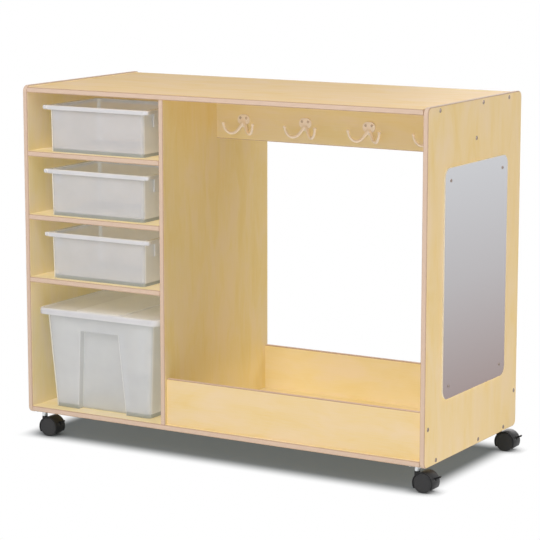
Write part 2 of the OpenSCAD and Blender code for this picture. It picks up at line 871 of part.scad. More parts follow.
// Carries what is drawn up from the underside of a caster plate to each of its screws
module at_caster_screws() {
    for (right = [0, 1], back = [0, 1])
        translate([right ? cab_w - stem_x : stem_x, back ? cab_d - stem_y : stem_y, caster_h])
            at_plate_holes() children();
}

module caster_screw_shanks() {
    at_caster_screws() cylinder(d = screw_d, h = panel_t * 0.8);
}

module caster_screws() {
    color(steel) cabinet() {
        caster_screw_shanks();
        at_caster_screws() rotate([180, 0, 0]) screw_head(7, 5, 1.8);
    }
}

// ---------------------------------------------------------------- nodes

left_side();
right_side();
top_panel();
bottom_panel();
divider();
bay_back();
shelf(1);  // shelf_1
shelf(2);  // shelf_2
shelf(3);  // shelf_3
hook_rail();
low_board(board_setback);  // front_low_board
low_board(back_y);  // back_low_board
left_bolts();
right_bolts();
barrel_nuts();
dowels();
mirror_sheet();  // mirror
mirror_screws();
hook(1);  // hook_1
hook(2);  // hook_2
hook(3);  // hook_3
hook(4);  // hook_4
hook_screws();
tray(1);  // tray_1
tray(2);  // tray_2
tray(3);  // tray_3
tote();
tote_lid();
caster_screws();
at_corner(false, false) caster_plate();  // caster_plate_fl
at_corner(false, false) caster_hood();  // caster_hood_fl
at_corner(false, false) caster_axle();  // caster_axle_fl
at_corner(false, false) wheel(-1);  // wheel_front_fl
at_corner(false, false) wheel(1);  // wheel_back_fl
at_corner(false, false) brake_pedal();  // brake_pedal_fl
at_corner(true, false) caster_plate();  // caster_plate_fr
at_corner(true, false) caster_hood();  // caster_hood_fr
at_corner(true, false) caster_axle();  // caster_axle_fr
at_corner(true, false) wheel(-1);  // wheel_front_fr
at_corner(true, false) wheel(1);  // wheel_back_fr
at_corner(true, false) brake_pedal();  // brake_pedal_fr
at_corner(false, true) caster_plate();  // caster_plate_bl
at_corner(false, true) caster_hood();  // caster_hood_bl
at_corner(false, true) caster_axle();  // caster_axle_bl
at_corner(false, true) wheel(-1);  // wheel_front_bl
at_corner(false, true) wheel(1);  // wheel_back_bl
at_corner(false, true) brake_pedal();  // brake_pedal_bl
at_corner(true, true) caster_plate();  // caster_plate_br
at_corner(true, true) caster_hood();  // caster_hood_br
at_corner(true, true) caster_axle();  // caster_axle_br
at_corner(true, true) wheel(-1);  // wheel_front_br
at_corner(true, true) wheel(1);  // wheel_back_br
at_corner(true, true) brake_pedal();  // brake_pedal_br
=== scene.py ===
import math

import bpy
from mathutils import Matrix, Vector


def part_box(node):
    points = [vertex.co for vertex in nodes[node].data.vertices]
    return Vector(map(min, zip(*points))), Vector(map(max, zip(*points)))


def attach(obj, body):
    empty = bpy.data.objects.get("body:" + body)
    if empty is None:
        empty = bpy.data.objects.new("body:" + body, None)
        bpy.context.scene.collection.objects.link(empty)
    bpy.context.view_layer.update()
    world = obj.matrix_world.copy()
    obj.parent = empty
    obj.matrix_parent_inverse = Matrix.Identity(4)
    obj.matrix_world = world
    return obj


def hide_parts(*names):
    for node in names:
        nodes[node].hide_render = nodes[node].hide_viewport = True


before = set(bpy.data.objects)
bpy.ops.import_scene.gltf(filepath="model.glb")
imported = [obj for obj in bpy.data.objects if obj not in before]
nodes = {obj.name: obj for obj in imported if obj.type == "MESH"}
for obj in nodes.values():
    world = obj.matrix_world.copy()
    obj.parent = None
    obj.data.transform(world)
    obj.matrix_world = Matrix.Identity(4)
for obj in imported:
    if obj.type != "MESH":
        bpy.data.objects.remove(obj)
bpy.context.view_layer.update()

# ------------------------------------------------------------------ plywood panels
# The carcass is 15 mm birch plywood, cut on a router, its edges rounded over and the whole
# sheet sprayed with clear satin lacquer. Faces show rotary-cut veneer; edges show the plies.

MM = 0.001
X, Y, Z = range(3)
PLY_COUNT = 11
FACE_VENEER = 0.5 * MM
SHOULDER = 3.2 * MM          # how far the rounded-over part, and the painted shade on it, reach into the edge
SHOULDER_SHADE_TONE = 0.75         # how much of that painted shade shows at its outermost
FIGURE_WIDTH = 55 * MM
FIGURE_LENGTH = 170 * MM
FIBRE_WIDTH = 3 * MM         # real fibres are too fine to show, so these are ten times as wide
FIBRE_LENGTH = 70 * MM
FIBRE_SHARE = 0.35
VENEER_STOPS = (0.45, 0.66, 0.85)
# Copies of one veneer, toned for how light falls on each panel: the inner copy is paler, as painted
# light in the bays, and the top's and the divider's are darker, as painted shade
OUTER_VENEER = ("#EED091", "#F0D5A0", "#F1D7AD")
INNER_VENEER_PAINTED_LIGHT = ("#EED99F", "#F0DDAD", "#F1DEBA")
TOP_VENEER_PAINTED_SHADE = ("#EECB89", "#F0D098", "#F1D2A6")
DIVIDER_VENEER_PAINTED_SHADE = ("#E6CF8E", "#E8D39B", "#E9D4A8")
PLY_LONG_GRAIN = "#E8D1BE"
PLY_END_GRAIN = "#CFB29C"
# Painted shade on the rounded-over parts of every cut edge
PLY_SHOULDER_SHADE = "#A78266"
COLOUR_A, COLOUR_B, COLOUR_OUT = 6, 7, 2     # a Mix node's sockets where it mixes colours


def linear(hex_colour):
    """An sRGB colour such as "#E2C08A" as Blender's linear red, green, blue and alpha."""
    parts = [int(hex_colour[i:i + 2], 16) / 255 for i in (1, 3, 5)]
    return [c / 12.92 if c <= 0.04045 else ((c + 0.055) / 1.055) ** 2.4 for c in parts] + [1.0]


def add(tree, kind, settings=None, inputs=None, stops=()):
    """Adds one node. A socket given as an input is linked, and anything else is its value.
    stops are the positions and hex colours of a colour ramp."""
    node = tree.nodes.new(kind)
    for name, value in (settings or {}).items():
        setattr(node, name, value)
    for key, value in (inputs or {}).items():
        socket = node.inputs[key]
        if isinstance(value, bpy.types.NodeSocket):
            tree.links.new(value, socket)
        else:
            socket.default_value = value
    if stops:
        elements = node.color_ramp.elements
        while len(elements) < len(stops):
            elements.new(0.5)
        for element, (position, colour) in zip(elements, stops):
            element.position = position
            element.color = linear(colour)
    return node


def new_material(name):
    """A material without nodes, its tree, and the place in the unit's own space that all
    patterns are drawn in."""
    material = bpy.data.materials.new(name)
    material.use_nodes = True
    tree = material.node_tree
    tree.nodes.clear()
    return material, tree, add(tree, "ShaderNodeTexCoord").outputs["Object"]


def close_surface(tree, inputs):
    """Ends a material's tree with a Principled shader that has these links and values."""
    shader = add(tree, "ShaderNodeBsdfPrincipled", inputs=inputs)
    add(tree, "ShaderNodeOutputMaterial", inputs={"Surface": shader.outputs["BSDF"]})


def noise_along(tree, place, start, grain, width, length, sockets):
    """Noise that is drawn out along the grain."""
    scale = [1 / width] * 3
    scale[grain] = 1 / length
    stretched = add(tree, "ShaderNodeMapping", inputs={
        "Vector": place, "Location": start, "Scale": scale})
    noise = add(tree, "ShaderNodeTexNoise", inputs={
        "Vector": stretched.outputs[0], "Scale": 1.0, **sockets})
    return noise.outputs["Fac"]


def ply_edge(tree, level, low, high):
    """The colour of a cut edge, and 1 where the face veneer takes over from it. level is the
    place through the sheet from low to high. Plies are pale where their grain runs along the
    edge and brown where it ends there, and the rounded-over parts near the faces carry painted
    shade."""
    depth = add(tree, "ShaderNodeMapRange", inputs={
        "Value": level, "From Min": low, "From Max": high, "To Min": 0.0, "To Max": PLY_COUNT / 2})
    wave = add(tree, "ShaderNodeMath", {"operation": "PINGPONG"}, {0: depth.outputs[0], 1: 0.5})
    plies = add(tree, "ShaderNodeValToRGB", inputs={"Fac": wave.outputs[0]},
                stops=[(0.20, PLY_LONG_GRAIN), (0.30, PLY_END_GRAIN)])
    offset = add(tree, "ShaderNodeMath", {"operation": "SUBTRACT"}, {0: level, 1: (low + high) / 2})
    reach = add(tree, "ShaderNodeMath", {"operation": "ABSOLUTE"}, {0: offset.outputs[0]})
    half = (high - low) / 2
    shoulder_shade = add(tree, "ShaderNodeMapRange", inputs={
        "Value": reach.outputs[0], "From Min": half - SHOULDER, "From Max": half - 2 * FACE_VENEER,
        "To Min": 0.0, "To Max": SHOULDER_SHADE_TONE})
    edge = add(tree, "ShaderNodeMix", {"data_type": "RGBA"}, {
        0: shoulder_shade.outputs[0], COLOUR_A: plies.outputs["Color"], COLOUR_B: linear(PLY_SHOULDER_SHADE)})
    is_face = add(tree, "ShaderNodeMath", {"operation": "GREATER_THAN"}, {
        0: reach.outputs[0], 1: half - FACE_VENEER})
    return edge.outputs[COLOUR_OUT], is_face.outputs[0]


def birch_plywood(node_name, across, grain, tints):
    """Lacquered birch plywood for one panel. across and grain are the axes of its thickness
    and of its face veneer's grain, and tints are the veneer's warm, mean and pink tones, in the
    copy that is painted lighter or darker for the light on that panel. The pattern fills the
    volume, so that every cut edge shows the plies where the saw meets them."""
    material, tree, place = new_material("birch_plywood_" + node_name)
    low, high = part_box(node_name)

    # Each panel starts elsewhere in the pattern, so that no two have the same figure
    start = Vector((low.x * 7 + 3, low.y * 5, low.z * 9 + across))
    figure = noise_along(tree, place, start, grain, FIGURE_WIDTH, FIGURE_LENGTH, {
        "Detail": 3.0, "Roughness": 0.55, "Distortion": 0.6})
    fibres = noise_along(tree, place, start, grain, FIBRE_WIDTH, FIBRE_LENGTH, {
        "Detail": 2.0, "Roughness": 0.6})
    mixed = add(tree, "ShaderNodeMath", {"operation": "MULTIPLY_ADD"}, {
        0: fibres, 1: FIBRE_SHARE, 2: figure})
    veneer = add(tree, "ShaderNodeValToRGB", inputs={"Fac": mixed.outputs[0]},
                 stops=list(zip(VENEER_STOPS, tints)))

    axes = add(tree, "ShaderNodeSeparateXYZ", inputs={"Vector": place})
    edge, is_face = ply_edge(tree, axes.outputs[across], low[across], high[across])
    colour = add(tree, "ShaderNodeMix", {"data_type": "RGBA"}, {
        0: is_face, COLOUR_A: edge, COLOUR_B: veneer.outputs["Color"]})
    bump = add(tree, "ShaderNodeBump", inputs={
        "Height": fibres, "Strength": 0.08, "Distance": 0.2 * MM})
    close_surface(tree, {"Base Color": colour.outputs[COLOUR_OUT], "Normal": bump.outputs["Normal"],
                         "Roughness": 0.5, "Specular IOR Level": 0.12})
    return material


def finish_with(node_name, material):
    """Gives a CAD node its finish."""
    mesh = nodes[node_name].data
    mesh.materials.clear()
    mesh.materials.append(material)


# Panels in and around the bays take the paler copy as painted light; the top and the divider take
# darker copies as painted shade
PANELS = {
    "left_side": (X, Z, INNER_VENEER_PAINTED_LIGHT), "right_side": (X, Z, OUTER_VENEER),
    "top_panel": (Z, X, TOP_VENEER_PAINTED_SHADE), "bottom_panel": (Z, X, INNER_VENEER_PAINTED_LIGHT),
    "divider": (X, Z, DIVIDER_VENEER_PAINTED_SHADE), "bay_back": (Y, Z, INNER_VENEER_PAINTED_LIGHT),
    "shelf_1": (Z, X, INNER_VENEER_PAINTED_LIGHT), "shelf_2": (Z, X, INNER_VENEER_PAINTED_LIGHT),
    "shelf_3": (Z, X, INNER_VENEER_PAINTED_LIGHT), "hook_rail": (Y, X, INNER_VENEER_PAINTED_LIGHT),
    "back_low_board": (Y, X, INNER_VENEER_PAINTED_LIGHT), "front_low_board": (Y, X, OUTER_VENEER),
}
for panel, (across, grain, tints) in PANELS.items():
    finish_with(panel, birch_plywood(panel, across, grain, tints))

# ------------------------------------------------------------------ dowels
# Turned beech dowels, glued into the divider and all that meets it. Only their ends could
# ever show, so the plain flecks of beech are enough.

BEECH_FLECK = 2 * MM


def turned_beech():
    """Bare beech: pinkish brown with short dark flecks, which are its rays."""
    material, tree, place = new_material("turned_beech")
    flecks = add(tree, "ShaderNodeTexNoise", inputs={
        "Vector": place, "Scale": 1 / BEECH_FLECK, "Detail": 2.0})
    colour = add(tree, "ShaderNodeValToRGB", inputs={"Fac": flecks.outputs["Fac"]},
                 stops=[(0.35, "#B98C5E"), (0.6, "#D0A878")])
    close_surface(tree, {"Base Color": colour.outputs["Color"], "Roughness": 0.7})
    return material


finish_with("dowels", turned_beech())

# ------------------------------------------------------------------ bolts, nuts and screws
# Steel connector bolts with low domed heads, cross-drilled barrel nuts, and small screws.
# All are zinc plated, the bolts in a duller satin than the screws under the casters. The
# bolts, nuts and mirror screws are also painted darker and browner, as shade.

ZINC_CLOUD = 6 * MM
GLOSS_SPREAD = 0.1


def zinc_plate(name, colour, roughness):
    """Zinc-plated steel in the colour given, whose gloss varies in small cloudy spots."""
    material, tree, place = new_material(name)
    clouds = add(tree, "ShaderNodeTexNoise", inputs={
        "Vector": place, "Scale": 1 / ZINC_CLOUD, "Detail": 3.0})
    gloss = add(tree, "ShaderNodeMapRange", inputs={
        "Value": clouds.outputs["Fac"],
        "To Min": roughness - GLOSS_SPREAD, "To Max": roughness + GLOSS_SPREAD})
    close_surface(tree, {"Base Color": linear(colour), "Metallic": 1.0,
                         "Roughness": gloss.outputs[0]})
    return material


# Painted shade: the bolts' zinc is a dark brownish grey, not the clean grey of the casters' screws
shaded_bolt_zinc = zinc_plate("zinc_plated_bolts_painted_shade", "#968880", 0.45)
bright_zinc = zinc_plate("bright_zinc_plate", "#D6D8DA", 0.28)
for name in ("left_bolts", "right_bolts", "barrel_nuts", "mirror_screws"):
    finish_with(name, shaded_bolt_zinc)
finish_with("caster_screws", bright_zinc)

# ------------------------------------------------------------------ mirror
# A sheet of silvered acrylic with rounded corners and a polished edge, screwed to the side.
# It is a little softer in its reflection than glass. Its colour is a painted reflection: cool
# grey above, and warmer and darker low down, near the floor.

EDGE_MARK = 4 * MM
FACING = 0.9                 # a face looks along an axis if its normal has more than this of it


def silvered_acrylic_painted_reflection():
    """Silvered acrylic with a painted reflection: a cool grey that turns warmer and darker towards
    its foot.
    """
    material, tree, place = new_material("silvered_acrylic_painted_reflection")
    low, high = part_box("mirror")
    axes = add(tree, "ShaderNodeSeparateXYZ", inputs={"Vector": place})
    # The painted reflection follows the height, from the mirror's foot to its top
    level = add(tree, "ShaderNodeMapRange", inputs={
        "Value": axes.outputs["Z"], "From Min": low.z, "From Max": high.z})
    colour = add(tree, "ShaderNodeValToRGB", inputs={"Fac": level.outputs[0]},
                 stops=[(0.0, "#9C8C8A"), (0.5, "#B5B2B4"), (1.0, "#C7C8CC")])
    close_surface(tree, {"Base Color": colour.outputs["Color"], "Metallic": 1.0, "Roughness": 0.12})
    return material


def painted_highlight_acrylic():
    """The sheet's polished edge, drawn pale cream all round as a painted highlight."""
    material, tree, place = new_material("polished_acrylic_edge")
    marks = add(tree, "ShaderNodeTexNoise", inputs={
        "Vector": place, "Scale": 1 / EDGE_MARK, "Detail": 2.0})
    colour = add(tree, "ShaderNodeValToRGB", inputs={"Fac": marks.outputs["Fac"]},
                 stops=[(0.3, "#F4E9D3"), (0.7, "#FBF3E2")])
    close_surface(tree, {"Base Color": colour.outputs["Color"], "Roughness": 0.2})
    return material


finish_with("mirror", silvered_acrylic_painted_reflection())
nodes["mirror"].data.materials.append(painted_highlight_acrylic())
# The faces of the edge take the painted highlight
for face in nodes["mirror"].data.polygons:
    if abs(face.normal.x) < FACING:
        face.material_index = 1

# ------------------------------------------------------------------ double hooks
# Zinc castings, two prongs on one plate, enamelled in almond to go with the wood and
# screwed to the rail. The mould and the paint leave no sharp edge on them.

HOOK_EDGE = 0.7 * MM
HOOK_ANGLE = 35
MERGE_DISTANCE = 0.01 * MM
FLAT_ANGLE = math.radians(1)
SMOOTH_ANGLE = math.radians(40)
ORANGE_PEEL = 1.5 * MM


def pick(piece):
    """Makes a piece the only one that the next operators act on."""
    bpy.ops.object.select_all(action="DESELECT")
    bpy.context.view_layer.objects.active = piece
    piece.select_set(True)


def ease_edges(piece, width, segments, angle):
    """Rounds the piece's edges that turn by more than an angle in degrees, and shades what is
    left of its facets smooth."""
    pick(piece)
    bevel = piece.modifiers.new("eased_edges", "BEVEL")
    bevel.width = width
    bevel.segments = segments
    bevel.limit_method = "ANGLE"
    bevel.angle_limit = math.radians(angle)
    bpy.ops.object.modifier_apply(modifier=bevel.name)
    bpy.ops.object.shade_smooth_by_angle(angle=SMOOTH_ANGLE)


def soften(node_name, body, width, angle):
    """A copy of a CAD node with its facets merged and its arrises eased, which takes its place."""
    mesh = nodes[node_name].data.copy()
    piece = bpy.data.objects.new(node_name + "_moulded", mesh)
    bpy.context.scene.collection.objects.link(piece)
    pick(piece)
    bpy.ops.object.mode_set(mode="EDIT")
    bpy.ops.mesh.select_all(action="SELECT")
    bpy.ops.mesh.remove_doubles(threshold=MERGE_DISTANCE)
    bpy.ops.mesh.dissolve_limited(angle_limit=FLAT_ANGLE)
    bpy.ops.object.mode_set(mode="OBJECT")
    ease_edges(piece, width, segments=2, angle=angle)
    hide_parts(node_name)
    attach(piece, body)
    return piece


def dress(piece, material):
    """Gives a new piece its finish."""
    piece.data.materials.clear()
    piece.data.materials.append(material)


def almond_enamel(name, colour):
    """Stoved enamel: glossy, with the faint orange peel of sprayed paint."""
    material, tree, place = new_material(name)
    peel = add(tree, "ShaderNodeTexNoise", inputs={
        "Vector": place, "Scale": 1 / ORANGE_PEEL, "Detail": 1.0})
    bump = add(tree, "ShaderNodeBump", inputs={
        "Height": peel.outputs["Fac"], "Strength": 0.05, "Distance": 0.1 * MM})
    close_surface(tree, {"Base Color": linear(colour), "Roughness": 0.2,
                         "Normal": bump.outputs["Normal"]})
    return material


enamel = almond_enamel("almond_enamel", "#F5E6D6")
for i in range(1, 5):
    hook = soften(f"hook_{i}", "cabinet", HOOK_EDGE, HOOK_ANGLE)
    dress(hook, enamel)
# Painted shade: the screws' enamel is darker than the hooks', though it is the same almond paint
finish_with("hook_screws", almond_enamel("almond_enamel_painted_shade_on_screws", "#CDBBAA"))

# ------------------------------------------------------------------ trays
# Three injection-moulded trays of natural polypropylene: milky, half clear, with a raised
# floor and a turned-down rim that carries a grip at each end and a tab at each side.


def millimetres(length):
    """A length of the frame in millimetres, rounded to the sizes that the unit is drawn in."""
    return round(length / MM, 2)


def about(along, *rings):
    """Rings given by width, depth and height, set about one middle along Y."""
    return [(width, depth, along, height) for width, depth, height in rings]


# The middle of the tray bay, from side to side, and the cabinet's front
shelf_low, shelf_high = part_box("shelf_1")
BAY_X = millimetres((shelf_low.x + shelf_high.x) / 2)
FRONT_Y = millimetres(shelf_low.y)

# Sizes in millimetres. The rings run from the hollow under the floor over the foot and up the
# outside, round the rim, which reaches further back than forward, and down to the floor inside.
TRAY_RADIUS = 10
TRAY_EDGE = 0.4
EDGE_ANGLE = 35
TRAY_Y = 134
RIM_Y = 137
TRAY_RINGS = [
    *about(TRAY_Y, (290, 217, 6.5), (290, 217, 0), (297.6, 224.6, 0), (299, 226, 0.8),
           (299.3, 226.3, 9), (302.9, 229.9, 122.5)),
    *about(RIM_Y, (322, 243, 122.5), (322, 243, 114), (327, 248, 114), (327, 248, 122.2),
           (326.2, 247.2, 124.2), (324.2, 245.2, 125)),
    *about(TRAY_Y, (299.4, 226.4, 125), (298, 225, 123.8), (294.6, 221.6, 10),
           (292.6, 219.6, 9)),
]
# Reach from the tray's middle, depth behind the cabinet's front, height, and rounding
GRIP = ((158, 170), (13, 29), (114, 125), 3.5)
TAB = ((158.4, 162.6), (54, 78), (80, 123), 0.8)

# Where the grades of the plastic lie: heights over the tray's base, then reach from its middle
TRAY_FOOT = (0.5, 8.9)
TRAY_FLOOR = (8.9, 9.5)
TRAY_RIM_START = 113
TRAY_TAB_START = 157
WALL_REACH = 140             # a face beyond this that looks to the side is on a side wall
CORNER_TURN = 0.24           # how far a corner's face is turned both ways at the least
UPRIGHT = 0.3                # and how much of its normal may point up or down

# Two tones, clearness and roughness of each grade
FLOW_MARK = 60 * MM
TRAY_GRADES = {
    "trays": ("#E1E2E8", "#E7E8EE", 0.66, 0.15), "rims": ("#DAD9DC", "#E1E0E3", 0.15, 0.15),
    "sides": ("#E6E5E4", "#ECEBEA", 0.3, 0.15), "corners": ("#F3F0EC", "#F8F5F1", 0.1, 0.15),
    "painted_foot_shade": ("#A2A6A4", "#AAAEAC", 0.2, 0.2),
}


def spot(x, y, z):
    """A place given in millimetres: across from the middle of the tray bay, back from the
    cabinet's front, and up from the floor."""
    return Vector((x + BAY_X, y + FRONT_Y, z)) * MM


def moulding(name, level, radius, rings):
    """A closed moulding drawn ring by ring, as a tool cuts its core and cavity. A ring is the
    width, depth, middle along Y and height over the level of a rounded rectangle, in
    millimetres; the first and the last ring are closed faces."""
    width, depth, along, height = rings[0]
    bpy.ops.object.select_all(action="DESELECT")
    bpy.ops.mesh.primitive_plane_add(size=1, location=(0, 0, 0))
    piece = bpy.context.active_object
    piece.name = name
    bpy.ops.object.mode_set(mode="EDIT")
    bpy.ops.transform.resize(value=(width * MM, depth * MM, 1), center_override=(0, 0, 0))
    if radius:
        bpy.ops.mesh.bevel(offset=radius * MM, segments=6, affect="VERTICES")
    here = spot(0, along, level + height)
    bpy.ops.transform.translate(value=here)
    for next_width, next_depth, along, height in rings[1:]:
        there = spot(0, along, level + height)
        bpy.ops.mesh.extrude_region_move(TRANSFORM_OT_translate={"value": there - here})
        bpy.ops.transform.resize(
            value=(next_width / width, next_depth / depth, 1), center_override=there)
        width, depth, here = next_width, next_depth, there
    bpy.ops.mesh.select_all(action="SELECT")
    bpy.ops.mesh.remove_doubles(threshold=MERGE_DISTANCE)
    bpy.ops.mesh.normals_make_consistent(inside=False)
    bpy.ops.object.mode_set(mode="OBJECT")
    return piece


def block(name, low, high, round_by):
    """A rounded block between two corners given in millimetres like a spot."""
    size = (Vector(high) - Vector(low)) * MM
    bpy.ops.object.select_all(action="DESELECT")
    bpy.ops.mesh.primitive_cube_add(size=1, location=(0, 0, 0))
    piece = bpy.context.active_object
    piece.name = name
    bpy.ops.object.mode_set(mode="EDIT")
    bpy.ops.transform.resize(value=size, center_override=(0, 0, 0))
    bpy.ops.mesh.bevel(offset=round_by * MM, segments=4, affect="EDGES")
    bpy.ops.transform.translate(value=(spot(*low) + spot(*high)) / 2)
    bpy.ops.object.mode_set(mode="OBJECT")
    return piece


def combine(piece, other, operation):
    """Joins another closed solid to a piece, or cuts it out of it, and clears the other away."""
    pick(piece)
    boolean = piece.modifiers.new("boolean", "BOOLEAN")
    boolean.operation = operation
    boolean.solver = "EXACT"
    boolean.object = other
    bpy.ops.object.modifier_apply(modifier=boolean.name)
    bpy.data.objects.remove(other)


def natural_polypropylene(part, tone, paler_tone, clearness, roughness):
    """Unpigmented polypropylene: milky white, glossy where the mould was polished, and clear
    enough to show what is behind it as a soft shape, less so where it is thick."""
    material, tree, place = new_material("natural_polypropylene_" + part)
    flow = add(tree, "ShaderNodeTexNoise", inputs={
        "Vector": place, "Scale": 1 / FLOW_MARK, "Detail": 2.0})
    colour = add(tree, "ShaderNodeValToRGB", inputs={"Fac": flow.outputs["Fac"]},
                 stops=[(0.3, tone), (0.7, paler_tone)])
    close_surface(tree, {"Base Color": colour.outputs["Color"], "Roughness": roughness,
                         "IOR": 1.49, "Alpha": 1 - clearness})
    return material


def regrade(piece, grade, belongs):
    """Gives another grade of the plastic to the faces that belongs() picks. It is told a face's
    centre, in millimetres from the bay's middle, the cabinet's front and the piece's lowest
    point, and its normal."""
    piece.data.materials.append(grade)
    foot = spot(0, 0, min(corner[2] for corner in piece.bound_box) / MM)
    for face in piece.data.polygons:
        if belongs((face.center - foot) / MM, face.normal):
            face.material_index = len(piece.data.materials) - 1


def between(low, high):
    """Picks the faces between two heights."""
    return lambda centre, normal: low < centre.z < high


def on_right_wall(centre, normal):
    """The outside of the right wall, which gets a paler, more opaque grade as painted light."""
    return normal.x > FACING and centre.x > WALL_REACH


def at_left_corner(centre, normal):
    """A tall outer face of the corners on the left, which carries a painted highlight."""
    turned = normal.x < -CORNER_TURN and abs(normal.y) > CORNER_TURN
    return centre.x < 0 and turned and abs(normal.z) < UPRIGHT


def on_rim_or_tab(centre, normal):
    """The rim, which is turned down and so seen double, with its grips and tabs."""
    return centre.z > TRAY_RIM_START or abs(centre.x) > TRAY_TAB_START


def on_tray_floor(centre, normal):
    """The upper side of the raised floor, which takes the rim's paler, more opaque grade as painted
    light.
    """
    return TRAY_FLOOR[0] < centre.z < TRAY_FLOOR[1] and normal.z > FACING


plastic = {part: natural_polypropylene(part, *grade) for part, grade in TRAY_GRADES.items()}

for name in ("tray_1", "tray_2", "tray_3"):
    level = millimetres(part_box(name)[0].z)
    tray = moulding(name + "_moulded", level, TRAY_RADIUS, TRAY_RINGS)
    for side in (-1, 1):
        for reach, along, height, rounding in (GRIP, TAB):
            left, right = sorted(side * x for x in reach)
            lug = block("lug", (left, along[0], level + height[0]),
                        (right, along[1], level + height[1]), rounding)
            combine(tray, lug, "UNION")
    ease_edges(tray, TRAY_EDGE * MM, segments=3, angle=EDGE_ANGLE)
    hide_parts(name)
    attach(tray, name)
    dress(tray, plastic["trays"])
    # Painted light: the right wall, in the divider's shade, is drawn paler and more opaque
    regrade(tray, plastic["sides"], on_right_wall)
    regrade(tray, plastic["rims"], on_rim_or_tab)
    # Painted light: the raised floor, lit from above, is drawn as pale and opaque as the rim
    regrade(tray, plastic["rims"], on_tray_floor)
    # Painted shade: the band at the foot, over the hollow under the floor, is drawn dark grey
    regrade(tray, plastic["painted_foot_shade"], between(*TRAY_FOOT))
    # Painted highlight: the corners on the left are drawn near white and opaque
    regrade(tray, plastic["corners"], at_left_corner)

# ------------------------------------------------------------------ tote and lid
# A tall tote of the same plastic, whose front and back have a recess that widens to the
# base, and a snap-on lid with a rolled edge and a flat band that runs along its middle.

tote_low, tote_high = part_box("tote")
TOTE_LEVEL = millimetres(tote_low.z)
TOTE_Y = millimetres((tote_low.y + tote_high.y) / 2) - FRONT_Y

# The tote's rings run up its outside, round its brim and down its inside
TOTE_RADIUS = 13
TOTE_EDGE = 1.6
TOTE_RINGS = about(
    TOTE_Y, (307.5, 420.1, 0), (310.5, 423.1, 0.8), (311.7, 424.3, 2.5), (313, 425.3, 12),
    (348.2, 451.9, 267.8), (384.9, 462.5, 268), (384.9, 462.5, 272), (342.5, 446.1, 272),
    (306.2, 418.8, 5), (303, 415.6, 3))

# At each end a wall is added inside the tote, and a tapered former then cuts the recess
RECESS_RINGS = [(156, 43, 31.5, -1), (123, 31.6, 25.8, 221)]
RECESS_WALL_RINGS = [(162, 21.5, 45.25, 1.5), (129, 21.5, 33.7, 224)]

# The lid's rings run from its underside round its rolled edge to its top
LID_RADIUS = 21
LID_EDGE = 0.4
LID_RINGS = about(
    TOTE_Y, (386.5, 464.1, 272), (386.5, 464.1, 259), (390.9, 468.5, 259), (392.5, 470.1, 260.6),
    (392.5, 470.1, 270.2), (391.7, 469.3, 272.8), (389.7, 467.3, 274.8), (386.9, 464.5, 275.8),
    (384.3, 461.9, 276), (376.5, 454.1, 276), (374.1, 451.7, 274.9))
BAND_RADIUS = 8
BAND_RINGS = about(TOTE_Y, (145, 458.1, 273.5), (145, 458.1, 276.8), (143.6, 456.7, 277.5))

# Where the grades lie, over the tote's base, over the lid's lower edge and from the middle
TOTE_FOOT = (0.5, 11.9)
TOTE_BRIM_START = 267.9
LID_TOP_START = 16.9
RECESS_EDGE_X = (20, 90)
RECESS_TURN = 0.2            # how far a recess's edge is turned both ways at the least
TOTE_GRADES = {
    "tote": ("#DCDDE0", "#E2E3E6", 0.52, 0.15), "lid": ("#F0EEEE", "#F6F4F4", 0.32, 0.2),
}


def to_the_back(rings):
    """Rings mirrored from the tote's front to its back."""
    return [(width, depth, 2 * TOTE_Y - along, height) for width, depth, along, height in rings]


def at_recess_edge(centre, normal):
    """The rounded edges on the right of the tote's two recesses, which carry the same painted
    highlight.
    """
    turned = normal.x < -RECESS_TURN and abs(normal.y) > RECESS_TURN
    return RECESS_EDGE_X[0] < centre.x < RECESS_EDGE_X[1] and turned and abs(normal.z) < UPRIGHT


def on_lid_edge(centre, normal):
    """The rolled edge, all that stands below the lid's flat top."""
    return centre.z < LID_TOP_START and abs(normal.z) < FACING


for part, grade in TOTE_GRADES.items():
    plastic[part] = natural_polypropylene(part, *grade)

tote = moulding("tote_moulded", TOTE_LEVEL, TOTE_RADIUS, TOTE_RINGS)
for operation, rings in (("UNION", RECESS_WALL_RINGS), ("DIFFERENCE", RECESS_RINGS)):
    for end in (rings, to_the_back(rings)):
        former = moulding("recess", TOTE_LEVEL, 0, end)
        combine(tote, former, operation)
ease_edges(tote, TOTE_EDGE * MM, segments=3, angle=EDGE_ANGLE)
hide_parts("tote")
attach(tote, "tote")
dress(tote, plastic["tote"])
# Painted light: the right wall, in the divider's shade, is drawn paler and more opaque
regrade(tote, plastic["sides"], on_right_wall)
regrade(tote, plastic["rims"], between(TOTE_BRIM_START, math.inf))
# Painted shade: the band at the tote's foot is drawn dark grey
regrade(tote, plastic["painted_foot_shade"], between(*TOTE_FOOT))
# Painted highlights on the tote's left corners and on the right edges of its recesses
regrade(tote, plastic["corners"], at_left_corner)
regrade(tote, plastic["corners"], at_recess_edge)

lid = moulding("tote_lid_moulded", TOTE_LEVEL, LID_RADIUS, LID_RINGS)
band = moulding("band", TOTE_LEVEL, BAND_RADIUS, BAND_RINGS)
combine(lid, band, "UNION")
ease_edges(lid, LID_EDGE * MM, segments=3, angle=EDGE_ANGLE)
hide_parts("tote_lid")
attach(lid, "tote_lid")
dress(lid, plastic["lid"])
regrade(lid, plastic["rims"], on_lid_edge)

# ------------------------------------------------------------------ casters
# Black nylon twin-wheel casters: a hood over two wheels on a steel axle, a brake pedal,
# and a zinc-plated plate that screws to the bottom panel.

HOOD_EDGE = 0.6 * MM
PEDAL_EDGE = 0.5 * MM
CASTER_ANGLE = 28
NYLON_GRAIN = 0.5 * MM       # coarser than the real grain, which is too fine to show


